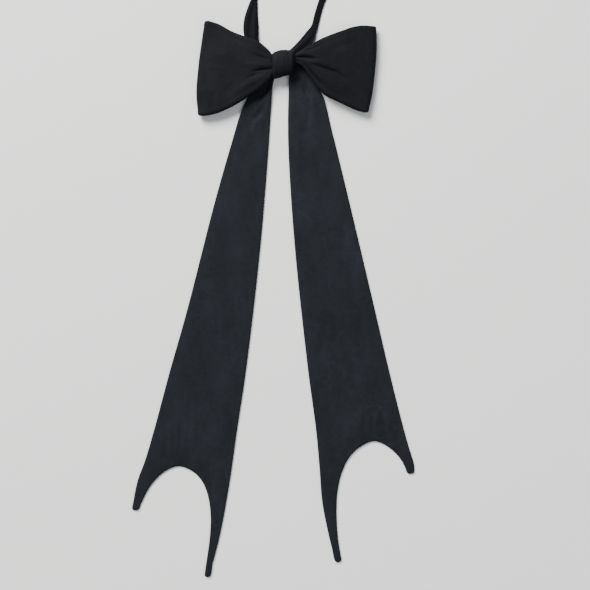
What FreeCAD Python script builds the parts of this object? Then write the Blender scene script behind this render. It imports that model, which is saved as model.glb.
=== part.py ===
"""A tied hair bow lying face up on a flat surface, as an assembly of separate cloth pieces.

Units are millimetres. The origin is the centre of the knot's back, on the surface; +X runs towards the right
loop, +Y towards the hair band and +Z out of the front of the bow.
"""

import FreeCAD
import Part

import math
import os

# Driving dimensions.
PLY = 0.55  # one layer of the sash cloth
INTERLINING = 0.4  # stiff layer between the two cloth layers
CLOTH = 2 * PLY + INTERLINING  # the made-up sash
SEAM_ALLOWANCE = 4.0  # width of the turned edge, which the interlining stops short of
CLEARANCE = 0.35  # between bodies that move

KNOT_HALF_WIDTH = 9.5
KNOT_TOP = 12.5
KNOT_BOTTOM = -12.0
KNOT_HEIGHT = 17.0
WRAP_PLY = 1.0  # each layer of the knot's wrap
KNOT_CORNER = 5.0
CORE_FLOOR = 5.4  # the gathered core sits above the tails' ends

LOOP_HINGE_X = 13.4
LOOP_HINGE_Z = 10.9
LOOP_GATHER_RADIUS = 3.5
LOOP_OUTER_FLOOR = 1.0  # underside of a loop's outer end above the surface
LOOP_OUTER_THICKNESS = 8.6

SWING_PIVOT = (5.0, -3.0)  # where a tail is held in the knot, mirrored for the left tail
PAD_RADIUS = 4.5
SWING_CLEAR_RADIUS = 10.5  # clears the knot's lower corner as a tail swings
NECK_BAR_END_X = 17.0
NECK_FLOOR = 2.3
NECK_TOP = 5.0
NECK_FLAT_TO_Y = -12.0
NECK_ON_FLOOR_Y = -56.0
FOLD_Y = -66.0  # line where a tail lifts off the surface

BAND_WIDTH = 6.0
BAND_THICKNESS = 2.0
TAPER_FLOOR = 2.2
TAPER_RAMP_FROM_Y = 12.0
TAPER_RAMP_TO_Y = 36.0
BEND_SHARE = 0.45  # a bend's tangent length as a share of the shorter run beside it
CUT_HEIGHT = 40.0  # plates that trim others reach this far above and below the surface
PROFILE_REACH = 80.0  # prisms that trim others reach this far to each side

# Points of each loop seen from above: throat, top edge, outer fold and bottom edge.
LEFT_LOOP = {
    "throat_top": (-17.0, 12.5),
    "top_middle": (-46.7, 27.8),
    "top_corner": (-70.0, 38.2),
    "fold_middle": (-77.6, -2.0),
    "bottom_corner": (-76.6, -44.2),
    "bottom_middle": (-45.0, -37.0),
    "throat_bottom": (-17.0, -18.0),
}
RIGHT_LOOP = {
    "throat_top": (17.0, 12.0),
    "top_middle": (48.0, 28.0),
    "top_corner": (82.0, 33.0),
    "fold_middle": (81.6, -2.0),
    "bottom_corner": (75.3, -41.6),
    "bottom_middle": (45.0, -31.5),
    "throat_bottom": (17.0, -9.0),
}
LOOP_THROAT = {"left": (-11.5, 9.5), "right": (-9.0, 7.0)}  # lowest and highest y in the knot

# Points of each tail below its fold line. A tail ends in two points with an arch between them.
LEFT_TAIL = {
    "fold_outer": (-45.6, FOLD_Y),
    "shoulder": (-120.6, -342.5),
    "outer_point_side": (-130.4, -372.0),
    "outer_point": [(-135.9, -396.5), (-133.0, -400.0), (-129.8, -396.5)],
    "arch_outer_side": (-113.9, -370.0),
    "arch_top": (-95.4, -361.0),
    "arch_inner_side": (-77.4, -369.5),
    "arch_foot": (-66.6, -396.5),
    "inner_point_inside": (-66.8, -427.0),
    "inner_point": [(-71.2, -457.5), (-69.2, -460.0), (-67.2, -457.5)],
    "inner_point_side": (-56.4, -413.0),
    "knee": (-49.5, -369.5),
    "inner_middle": (-27.0, -207.5),
    "fold_inner": (-14.2, FOLD_Y),
}
RIGHT_TAIL = {
    "fold_outer": (43.6, FOLD_Y),
    "shoulder": (110.7, -342.5),
    "outer_point_side": (114.2, -353.0),
    "outer_point": [(115.4, -362.5), (112.4, -366.3), (108.9, -364.0)],
    "arch_outer_side": (98.0, -346.4),
    "arch_top": (81.0, -339.3),
    "arch_inner_side": (59.0, -353.0),
    "arch_foot": (46.4, -388.0),
    "inner_point_inside": (46.6, -416.0),
    "inner_point": [(49.6, -443.6), (47.5, -446.4), (45.2, -444.0)],
    "inner_point_side": (37.2, -407.0),
    "knee": (32.4, -369.5),
    "inner_middle": (14.8, -216.0),
    "fold_inner": (3.6, FOLD_Y),
}

# The gathered top of each tail, from the knot to the fold line.
LEFT_NECK = [(-17.0, 1.0), (-39.4, -43.0), (-45.3, -66.0), (-14.2, -66.0), (-12.6, -45.0), (-10.8, -8.0)]
RIGHT_NECK = [(17.0, 1.0), (31.5, -21.0), (36.5, -40.0), (43.4, -66.0), (3.6, -66.0), (3.6, -41.0), (4.5, -8.0)]

# The sash narrows from the knot to the band: both edges of each taper, from the knot outwards.
LEFT_TAPER = {
    "outer": [
        (-0.3, 3.6), (-12.0, 3.8), (-23.0, 8.0), (-31.0, 16.5), (-35.2, 26.0), (-36.4, 35.0), (-34.5, 44.0),
    ],
    "inner": [(-0.3, 8.3), (-11.0, 8.3), (-18.5, 14.5), (-23.0, 25.0), (-24.2, 38.0)],
}
RIGHT_TAPER = {
    "outer": [(0.3, 3.6), (10.0, 4.0), (20.0, 11.0), (27.6, 22.0)],
    "inner": [(0.3, 8.3), (9.8, 8.3), (14.0, 19.5), (21.0, 30.0)],
}

# Centreline of the band on the surface, from the left taper round to the right one.
BAND_ROUTE = [
    (-27.9, 58.0), (-24.4, 77.0), (-21.5, 100.0), (-16.0, 125.0), (-2.0, 148.0), (21.0, 161.0),
    (47.0, 158.0), (64.0, 139.0), (66.0, 113.0), (56.0, 88.0), (33.4, 66.0), (27.6, 38.2),
]


def vec(point, z=0.0):
    return FreeCAD.Vector(point[0], point[1], z)


def line(a, b):
    return Part.LineSegment(vec(a), vec(b)).toShape()


def arc(a, middle, b):
    return Part.Arc(vec(a), vec(middle), vec(b)).toShape()


def plate(edges, low, high):
    """The closed outline of those edges as a plate from one height to another."""
    face = Part.Face(Part.Wire(edges))
    face.translate(FreeCAD.Vector(0, 0, low))
    return face.extrude(FreeCAD.Vector(0, 0, high - low))


def polygon(points, low, high):
    closed = list(points) + [points[0]]
    return plate([line(a, b) for a, b in zip(closed, closed[1:])], low, high)


def disc(centre, radius, low, high):
    return Part.makeCylinder(radius, high - low, vec(centre, low))


def slab(shape, low, high):
    """The part of a shape between two heights."""
    size = 2000.0
    box = Part.makeBox(size, size, high - low, FreeCAD.Vector(-size / 2, -size / 2, low))
    return shape.common(box)


def side_profile(points):
    """A prism along X whose outline is given as (y, z) points."""
    corners = [FreeCAD.Vector(-PROFILE_REACH, y, z) for y, z in points]
    face = Part.Face(Part.makePolygon(corners + corners[:1]))
    return face.extrude(FreeCAD.Vector(2 * PROFILE_REACH, 0, 0))


def mirror_x(point):
    return (-point[0], point[1])


def save(name, shape):
    shape = shape.removeSplitter()
    shape.exportStep(f"parts/{name}.step")
    print(f"{name}: {len(shape.Solids)} solid, {shape.Volume:.1f} mm3, valid {shape.isValid()}")


def knot_section(inset):
    """The knot's outline across X, as a face that stands in the YZ plane, smaller all round by inset."""
    low_y, high_y = KNOT_BOTTOM + inset, KNOT_TOP - inset
    low_z, high_z = inset, KNOT_HEIGHT - inset
    r = KNOT_CORNER - inset
    diagonal = r * (1 - math.sqrt(0.5))

    def at(y, z):
        return FreeCAD.Vector(-KNOT_HALF_WIDTH, y, z)

    def corner(start, middle, end):
        return Part.Arc(at(*start), at(*middle), at(*end)).toShape()

    def side(start, end):
        return Part.LineSegment(at(*start), at(*end)).toShape()

    edges = [
        side((low_y + r, low_z), (high_y - r, low_z)),
        corner((high_y - r, low_z), (high_y - diagonal, low_z + diagonal), (high_y, low_z + r)),
        side((high_y, low_z + r), (high_y, high_z - r)),
        corner((high_y, high_z - r), (high_y - diagonal, high_z - diagonal), (high_y - r, high_z)),
        side((high_y - r, high_z), (low_y + r, high_z)),
        corner((low_y + r, high_z), (low_y + diagonal, high_z - diagonal), (low_y, high_z - r)),
        side((low_y, high_z - r), (low_y, low_z + r)),
        corner((low_y, low_z + r), (low_y + diagonal, low_z + diagonal), (low_y + r, low_z)),
    ]
    return Part.Face(Part.Wire(edges))


def make_knot():
    along_x = FreeCAD.Vector(2 * KNOT_HALF_WIDTH, 0, 0)
    filled, half_way, hollow = [knot_section(k * WRAP_PLY).extrude(along_x) for k in range(3)]
    save("knot_wrap_outer", filled.cut(half_way))
    save("knot_wrap_lining", half_way.cut(hollow))
    save("knot_core", slab(hollow, CORE_FLOOR, KNOT_HEIGHT))


def loop_section(side, inset):
    """The closed teardrop outline of a folded loop seen along Y, smaller all round by inset."""
    radius = LOOP_GATHER_RADIUS - inset
    fold_radius = LOOP_OUTER_THICKNESS / 2 - inset
    gather = (LOOP_HINGE_X, LOOP_HINGE_Z)
    fold = (abs(side["fold_middle"][0]) - LOOP_OUTER_THICKNESS / 2, LOOP_OUTER_FLOOR + LOOP_OUTER_THICKNESS / 2)
    dx, dz = fold[0] - gather[0], fold[1] - gather[1]
    length = math.hypot(dx, dz)
    # The straight layers are tangent to both circles; lean is their angle to the line of centres.
    lean = math.asin((fold_radius - radius) / length)
    heading = math.atan2(dz, dx)

    def at(centre, r, angle):
        sign = math.copysign(1, side["fold_middle"][0])
        return FreeCAD.Vector(sign * (centre[0] + r * math.cos(angle)), 0, centre[1] + r * math.sin(angle))

    front, back = heading + math.pi / 2 + lean, heading - math.pi / 2 - lean
    edges = [
        Part.LineSegment(at(gather, radius, front), at(fold, fold_radius, front)).toShape(),
        Part.Arc(
            at(fold, fold_radius, front), at(fold, fold_radius, heading), at(fold, fold_radius, back)
        ).toShape(),
        Part.LineSegment(at(fold, fold_radius, back), at(gather, radius, back)).toShape(),
        Part.Arc(
            at(gather, radius, back), at(gather, radius, heading + math.pi), at(gather, radius, front)
        ).toShape(),
    ]
    return Part.Face(Part.Wire(edges))


def loop_plan(name, side, inset):
    """The loop seen from above as a tall plate. The inset is from its top and bottom edges only."""
    start = math.copysign(LOOP_HINGE_X - LOOP_GATHER_RADIUS - 1, side["fold_middle"][0])
    low, high = LOOP_THROAT[name]

    def shifted(key):
        x, y = side[key]
        return (x, y - math.copysign(inset, y))

    edges = [
        line((start, low + inset), (start, high - inset)),
        line((start, high - inset), shifted("throat_top")),
        arc(shifted("throat_top"), shifted("top_middle"), shifted("top_corner")),
        arc(shifted("top_corner"), side["fold_middle"], shifted("bottom_corner")),
        arc(shifted("bottom_corner"), shifted("bottom_middle"), shifted("throat_bottom")),
        line(shifted("throat_bottom"), (start, low + inset)),
    ]
    return plate(edges, -CUT_HEIGHT, CUT_HEIGHT)


def make_loop(name, side):
    """The folded loop as two cloth plies with the interlining between them, one inside the other."""
    reach = 60.0

    def ring(outer, inner):
        made = [loop_section(side, k).extrude(FreeCAD.Vector(0, 2 * reach, 0)) for k in (outer, inner)]
        for solid in made:
            solid.translate(FreeCAD.Vector(0, -reach, 0))
        return made[0].cut(made[1])

    plan = loop_plan(name, side, 0)
    interlining = ring(PLY, PLY + INTERLINING).common(loop_plan(name, side, SEAM_ALLOWANCE))
    outer = ring(0, PLY + INTERLINING).common(plan).cut(interlining)
    save(f"{name}_loop_outer_ply", outer)
    save(f"{name}_loop_interlining", interlining)
    save(f"{name}_loop_inner_ply", ring(PLY + INTERLINING, CLOTH).common(plan))


def tail_outline(tail):
    p = tail
    outer, inner = p["outer_point"], p["inner_point"]
    return [
        line(p["fold_outer"], p["shoulder"]),
        arc(p["shoulder"], p["outer_point_side"], outer[0]),
        arc(*outer),
        arc(outer[2], p["arch_outer_side"], p["arch_top"]),
        arc(p["arch_top"], p["arch_inner_side"], p["arch_foot"]),
        arc(p["arch_foot"], p["inner_point_inside"], inner[0]),
        arc(*inner),
        arc(inner[2], p["inner_point_side"], p["knee"]),
        arc(p["knee"], p["inner_middle"], p["fold_inner"]),
        line(p["fold_inner"], p["fold_outer"]),
    ]


def tail_interlining_outline(tail):
    """A four-sided piece that stops short of the seams and of the arch."""
    sign = math.copysign(1, tail["shoulder"][0])
    inset = sign * SEAM_ALLOWANCE * 1.05
    end_y = tail["arch_top"][1] + SEAM_ALLOWANCE
    start_y = FOLD_Y - SEAM_ALLOWANCE
    (x0, y0), (x1, y1) = tail["fold_outer"], tail["shoulder"]

    def outer_x(y):
        return x0 + (x1 - x0) * (y - y0) / (y1 - y0) - inset

    knee, middle, top = tail["knee"], tail["inner_middle"], tail["fold_inner"]
    inner = [(knee[0] + inset, end_y), (middle[0] + inset, middle[1]), (top[0] + inset, start_y)]
    return [
        line((outer_x(start_y), start_y), (outer_x(end_y), end_y)),
        line((outer_x(end_y), end_y), inner[0]),
        arc(*inner),
        line(inner[2], (outer_x(start_y), start_y)),
    ]


def make_tail(name, tail, neck):
    """Two cloth panels with the interlining between them, rounded at the fold line, and the gathered top."""
    blade = plate(tail_outline(tail), 0, CLOTH)
    start = FreeCAD.Vector(min(tail["fold_outer"][0], tail["fold_inner"][0]), FOLD_Y, CLOTH / 2)
    width = abs(tail["fold_outer"][0] - tail["fold_inner"][0])
    blade = blade.fuse(Part.makeCylinder(CLOTH / 2, width, start, FreeCAD.Vector(1, 0, 0)))
    interlining = plate(tail_interlining_outline(tail), PLY, PLY + INTERLINING)
    save(f"{name}_tail_back_panel", slab(blade, 0, PLY))
    save(f"{name}_tail_interlining", interlining)
    save(f"{name}_tail_front_panel", slab(blade, PLY, CLOTH).cut(interlining))

    make_tail_neck(name, neck)


def make_tail_neck(name, neck):
    """The gathered top of a tail: a fan outside the knot and a bar and a round pad held inside it."""
    pivot = SWING_PIVOT if name == "right" else mirror_x(SWING_PIVOT)
    outside_x = math.copysign(NECK_BAR_END_X, pivot[0])
    half = PAD_RADIUS - 0.25
    bar = polygon(
        [(pivot[0], pivot[1] - half), (outside_x, pivot[1] - half),
         (outside_x, pivot[1] + half), (pivot[0], pivot[1] + half)],
        -CUT_HEIGHT, CUT_HEIGHT,
    )
    pad = disc(pivot, PAD_RADIUS, -CUT_HEIGHT, CUT_HEIGHT)
    fan = polygon(neck, -CUT_HEIGHT, CUT_HEIGHT).cut(disc(pivot, SWING_CLEAR_RADIUS, -CUT_HEIGHT, CUT_HEIGHT))
    end_y = FOLD_Y + CLOTH / 2 + CLEARANCE
    inside_y = pivot[1] + 2 * PAD_RADIUS
    profile = side_profile([
        (inside_y, NECK_FLOOR), (inside_y, NECK_TOP), (NECK_FLAT_TO_Y, NECK_TOP), (end_y, CLOTH),
        (end_y, 0), (NECK_ON_FLOOR_Y, 0), (NECK_FLAT_TO_Y, NECK_FLOOR),
    ])
    save(f"{name}_tail_neck", fan.fuse([bar, pad]).common(profile))


def heading_of(a, b):
    return math.atan2(b[1] - a[1], b[0] - a[0])


def beside(point, heading, hand):
    """The point on one edge of the band, at the left (1) or right (-1) of its centreline."""
    normal = heading + hand * math.pi / 2
    return (point[0] + BAND_WIDTH / 2 * math.cos(normal), point[1] + BAND_WIDTH / 2 * math.sin(normal))


def make_taper(name, edges, end, after_end, outer_hand):
    """The narrowing stretch of sash between the knot and the band's end face."""
    heading = heading_of(end, after_end)
    cap = [beside(end, heading, outer_hand), beside(end, heading, -outer_hand)]
    points = edges["outer"] + cap + edges["inner"][::-1]
    beyond_y = end[1] + BAND_WIDTH
    low = [(0, TAPER_FLOOR), (TAPER_RAMP_FROM_Y, TAPER_FLOOR), (TAPER_RAMP_TO_Y, 0), (beyond_y, 0)]
    high = [(y, z + BAND_THICKNESS) for y, z in reversed(low)]
    outline = polygon(points, -CUT_HEIGHT, CUT_HEIGHT)
    save(f"{name}_band_taper", outline.common(side_profile(low + high)))


def band_bend(before, corner, after):
    """The tangent arc that rounds one corner of the route: where it begins, its middle and its end."""
    into, out = heading_of(before, corner), heading_of(corner, after)
    turn = math.remainder(out - into, 2 * math.pi)
    tangent = BEND_SHARE * min(math.dist(before, corner), math.dist(corner, after))
    radius = tangent / math.tan(abs(turn) / 2)
    begin = (corner[0] - tangent * math.cos(into), corner[1] - tangent * math.sin(into))
    end = (corner[0] + tangent * math.cos(out), corner[1] + tangent * math.sin(out))
    to_centre = into + math.copysign(math.pi / 2, turn)
    centre = (begin[0] + radius * math.cos(to_centre), begin[1] + radius * math.sin(to_centre))
    from_centre = to_centre + math.pi + turn / 2
    middle = (centre[0] + radius * math.cos(from_centre), centre[1] + radius * math.sin(from_centre))
    headings = (into, into + turn / 2, out)
    return (begin, middle, end), headings, radius, radius * abs(turn)


def make_band(route):
    """A flat band along straight runs joined by tangent arcs, built as one outline and extruded."""
    edges, radii, length = [], [], 0.0
    start, heading = route[0], heading_of(route[0], route[1])
    edges.append(line(beside(start, heading, 1), beside(start, heading, -1)))
    for before, corner, after in zip(route, route[1:], route[2:]):
        points, headings, radius, arc_length = band_bend(before, corner, after)
        for hand in (1, -1):
            edges.append(line(beside(start, headings[0], hand), beside(points[0], headings[0], hand)))
            edges.append(arc(*[beside(p, h, hand) for p, h in zip(points, headings)]))
        length += math.dist(start, points[0]) + arc_length
        radii.append(round(radius))
        start, heading = points[2], headings[2]
    for hand in (1, -1):
        edges.append(line(beside(start, heading, hand), beside(route[-1], heading, hand)))
    edges.append(line(beside(route[-1], heading, 1), beside(route[-1], heading, -1)))
    length += math.dist(start, route[-1])
    band = plate(Part.sortEdges(edges)[0], 0, BAND_THICKNESS)
    save("neck_band", band)
    print(f"band: {length:.1f} mm long, arc radii {radii} mm")
    print(f"band: volume {band.Volume:.0f}, section times length {BAND_WIDTH * BAND_THICKNESS * length:.0f} mm3")


os.makedirs("parts", exist_ok=True)
make_knot()
make_loop("left", LEFT_LOOP)
make_loop("right", RIGHT_LOOP)
make_tail("left", LEFT_TAIL, LEFT_NECK)
make_tail("right", RIGHT_TAIL, RIGHT_NECK)
make_taper("left", LEFT_TAPER, BAND_ROUTE[0], BAND_ROUTE[1], 1)
make_taper("right", RIGHT_TAPER, BAND_ROUTE[-1], BAND_ROUTE[-2], -1)
make_band(BAND_ROUTE)
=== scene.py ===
import math

import bpy
import numpy as np
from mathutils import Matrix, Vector, geometry, noise


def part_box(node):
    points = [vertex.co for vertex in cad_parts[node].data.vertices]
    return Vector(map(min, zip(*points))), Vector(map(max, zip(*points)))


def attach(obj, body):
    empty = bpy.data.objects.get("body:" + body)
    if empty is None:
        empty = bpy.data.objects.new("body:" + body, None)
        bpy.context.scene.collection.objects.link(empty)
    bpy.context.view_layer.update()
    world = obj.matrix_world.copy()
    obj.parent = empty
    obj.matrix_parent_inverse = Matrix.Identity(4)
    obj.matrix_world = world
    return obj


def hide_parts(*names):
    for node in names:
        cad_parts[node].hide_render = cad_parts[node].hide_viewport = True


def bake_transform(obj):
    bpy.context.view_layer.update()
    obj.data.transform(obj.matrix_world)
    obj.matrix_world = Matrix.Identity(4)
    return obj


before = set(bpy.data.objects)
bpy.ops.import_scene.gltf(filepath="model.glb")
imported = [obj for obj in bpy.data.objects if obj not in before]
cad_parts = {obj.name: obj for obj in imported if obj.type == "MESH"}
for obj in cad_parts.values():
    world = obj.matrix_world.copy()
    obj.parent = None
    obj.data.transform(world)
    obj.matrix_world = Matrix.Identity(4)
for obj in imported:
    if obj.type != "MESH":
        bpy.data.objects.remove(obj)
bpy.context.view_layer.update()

MM = 0.001

# The made-up sash, in millimetres: two plies of cloth with a stiff layer between them.
SASH = 1.5
CORE_HALF = 0.2  # half the interlining's thickness
SEAM_WIDTH = 4.5  # turned edge that lies inside each side of the sash
PLY_GAP = 0.005  # between each ply and the room for the interlining
STIFFENER_SHARE = {"tail": 0.8, "loop": 0.4}  # of the interlining's room that it fills
FOLD_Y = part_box("left_tail_back_panel")[1][1] / MM  # where a tail lifts off the surface

# Centreline of the band on the surface, from the left taper round to the right one.
BAND_WIDTH = 6.0
BAND_THICKNESS = 2.0
PRESSED_THICKNESS = 1.75  # of the band and the tapers, seams apart
LOWEST = 0.02  # cloth on the surface stays this far above it
BAND_ROUTE = [
    (-27.9, 58.0), (-24.4, 77.0), (-21.5, 100.0), (-16.0, 125.0), (-2.0, 148.0), (21.0, 161.0),
    (47.0, 158.0), (64.0, 139.0), (66.0, 113.0), (56.0, 88.0), (33.4, 66.0), (27.6, 38.2),
]


# ---------------------------------------------------------------- small helpers


def smooth(edge0, edge1, x):
    """0 before edge0, 1 after edge1 and a smooth step between them."""
    t = np.clip((np.asarray(x, float) - edge0) / (edge1 - edge0), 0, 1)
    return t * t * (3 - 2 * t)


def bell(x, width):
    """1 at 0, falling smoothly to nothing about two widths away."""
    return np.exp(-((np.asarray(x, float) / width) ** 2))


def noise_at(points, size, seed=0.0):
    """Smooth noise from -1 to 1 at 2-D points, whose bumps are about that size."""
    return np.array([noise.noise(Vector((p[0] / size, p[1] / size, seed))) for p in points])


def curve_through(points, step):
    """Points about a step apart along a smooth curve through the given ones."""
    points = np.array(points, float)
    ends = [2 * points[0] - points[1], *points, 2 * points[-1] - points[-2]]
    made = []
    for p0, p1, p2, p3 in zip(ends, ends[1:], ends[2:], ends[3:]):
        count = max(2, int(round(np.linalg.norm(p2 - p1) / step)))
        a, b = _tangents(p0, p1, p2, p3)
        for t in np.arange(count) / count:
            made.append(_hermite(p1, a, p2, b, t))
    made.append(points[-1])
    return np.array(made)


def _tangents(p0, p1, p2, p3):
    """The curve's tangents at its two middle points, even where the points are unevenly spaced."""
    d0, d1, d2 = [max(np.linalg.norm(q - p), 1e-6) ** 0.5 for p, q in ((p0, p1), (p1, p2), (p2, p3))]
    a = (p1 - p0) / d0 - (p2 - p0) / (d0 + d1) + (p2 - p1) / d1
    b = (p2 - p1) / d1 - (p3 - p1) / (d1 + d2) + (p3 - p2) / d2
    return a * d1, b * d1


def _hermite(p, a, q, b, t):
    """The point at share t between p and q, whose tangents are a and b."""
    return (
        (2 * t**3 - 3 * t**2 + 1) * p + (t**3 - 2 * t**2 + t) * a
        + (3 * t**2 - 2 * t**3) * q + (t**3 - t**2) * b
    )


def crease(points, path, width, depth):
    """Height added along a soft fold that follows a path. It fades to nothing at both ends of the path."""
    path = np.array(path, float)
    legs = path[1:] - path[:-1]
    lengths = np.linalg.norm(legs, axis=1)
    total = lengths.sum()
    best = np.full(len(points), 1e9)
    along = np.zeros(len(points))
    run = 0.0
    for start, leg, length in zip(path, legs, lengths):
        t = np.clip(((points - start) @ leg) / length**2, 0, 1)
        away = np.linalg.norm(points - start - t[:, None] * leg, axis=1)
        closer = away < best
        best = np.where(closer, away, best)
        along = np.where(closer, (run + t * length) / total, along)
        run += length
    fade = np.sin(np.pi * np.clip(along, 0.02, 0.98)) ** 1.2
    return depth * fade * (0.55 * bell(best, width) + 0.45 * np.exp(-np.sqrt(best**2 + 0.16) / (0.6 * width)))


def new_object(name, verts_mm, faces, cloth_mm, material):
    """A smooth-shaded mesh piece. It keeps each point's place in the flat cloth, which the weave follows."""
    mesh = bpy.data.meshes.new(name)
    mesh.from_pydata([tuple(v) for v in np.asarray(verts_mm) * MM], [], [tuple(f) for f in faces])
    mesh.validate()
    place = mesh.attributes.new("cloth", "FLOAT_VECTOR", "POINT")
    place.data.foreach_set("vector", (np.asarray(cloth_mm, float) * MM).ravel())
    mesh.polygons.foreach_set("use_smooth", [True] * len(mesh.polygons))
    mesh.materials.append(material)
    obj = bpy.data.objects.new(name, mesh)
    bpy.context.scene.collection.objects.link(obj)
    return obj


def grid_shell(outer, inner, closed_u=False):
    """Faces of a closed shell between two grids of the same size, joined round their border."""
    rows, columns = outer.shape[:2]
    verts = np.concatenate([outer.reshape(-1, 3), inner.reshape(-1, 3)])
    half = rows * columns
    faces = []
    last = rows if closed_u else rows - 1
    for i in range(last):
        j = (i + 1) % rows
        for k in range(columns - 1):
            a, b = i * columns + k, i * columns + k + 1
            c, d = j * columns + k + 1, j * columns + k
            faces.append((a, b, c, d))
            faces.append((half + d, half + c, half + b, half + a))
        for k, flip in ((0, False), (columns - 1, True)):
            a, d = i * columns + k, j * columns + k
            side = (a, d, half + d, half + a)
            faces.append(side[::-1] if flip else side)
    if not closed_u:
        for i, flip in ((0, True), (rows - 1, False)):
            for k in range(columns - 1):
                a, b = i * columns + k, i * columns + k + 1
                side = (a, b, half + b, half + a)
                faces.append(side[::-1] if not flip else side)
    return verts, faces


# ---------------------------------------------------------------- camera, floor and light


def add_camera():
    """Straight down, with the knot high in the picture, as wide at the surface as the picture is."""
    height, picture_width = 1.15, 0.531
    camera = bpy.data.cameras.new("camera")
    camera.sensor_width = 36.0
    camera.lens = camera.sensor_width * height / picture_width
    obj = bpy.data.objects.new("camera", camera)
    obj.location = (0.009, -0.206, height)
    bpy.context.scene.collection.objects.link(obj)
    bpy.context.scene.camera = obj


def add_light(name, location, target, size, watts, colour):
    """A soft rectangular light that points at the target."""
    light = bpy.data.lights.new(name, "AREA")
    light.shape = "RECTANGLE"
    light.size, light.size_y = size
    light.energy = watts
    light.color = colour
    obj = bpy.data.objects.new(name, light)
    obj.location = location
    direction = Vector(target) - Vector(location)
    obj.rotation_euler = direction.to_track_quat("-Z", "Y").to_euler()
    bpy.context.scene.collection.objects.link(obj)


def add_stage():
    """A soft window light, a weak fill from the other side and a plain floor."""
    world = bpy.data.worlds.new("studio")
    world.use_nodes = True
    world.node_tree.nodes["Background"].inputs["Color"].default_value = (0.86, 0.9, 0.96, 1)
    world.node_tree.nodes["Background"].inputs["Strength"].default_value = 0.4
    bpy.context.scene.world = world
    add_light("window", (-1.3, 1.9, 2.0), (0, -0.2, 0), (1.8, 1.5), 270, (1.0, 0.985, 0.96))
    add_light("fill", (1.1, -1.3, 1.7), (0, -0.3, 0), (1.6, 1.6), 16, (0.93, 0.96, 1.0))
    mesh = bpy.data.meshes.new("floor")
    reach = 4.0
    mesh.from_pydata(
        [(-reach, -reach, 0), (reach, -reach, 0), (reach, reach, 0), (-reach, reach, 0)], [], [(0, 1, 2, 3)]
    )
    floor = bpy.data.objects.new("floor", mesh)
    floor.data.materials.append(floor_material())
    bpy.context.scene.collection.objects.link(floor)


def floor_material():
    """Plain pale matt surface."""
    material = bpy.data.materials.new("pale_floor")
    material.use_nodes = True
    shader = material.node_tree.nodes["Principled BSDF"]
    shader.inputs["Base Color"].default_value = (0.80, 0.80, 0.79, 1)
    shader.inputs["Roughness"].default_value = 0.8
    return material


# ---------------------------------------------------------------- cloth materials


class Tree:
    """Short names for adding and joining shader nodes."""

    def __init__(self, name):
        self.material = bpy.data.materials.new(name)
        self.material.use_nodes = True
        self.nodes = self.material.node_tree.nodes
        self.links = self.material.node_tree.links
        self.shader = self.nodes["Principled BSDF"]

    def add(self, kind, values=None, **settings):
        node = self.nodes.new("ShaderNode" + kind)
        for key, value in settings.items():
            setattr(node, key, value)
        for key, value in (values or {}).items():
            if isinstance(value, bpy.types.NodeSocket):
                self.links.new(value, node.inputs[key])
            else:
                node.inputs[key].default_value = value
        return node

    def math(self, operation, a, b=0.0):
        node = self.add("Math", {0: a, 1: b}, operation=operation)
        return node.outputs[0]

    def ramp(self, value, low, high):
        """value, from low to high, as a smooth 0 to 1."""
        node = self.add(
            "MapRange", {"Value": value, "From Min": low, "From Max": high}, interpolation_type="SMOOTHSTEP"
        )
        return node.outputs[0]


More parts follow.
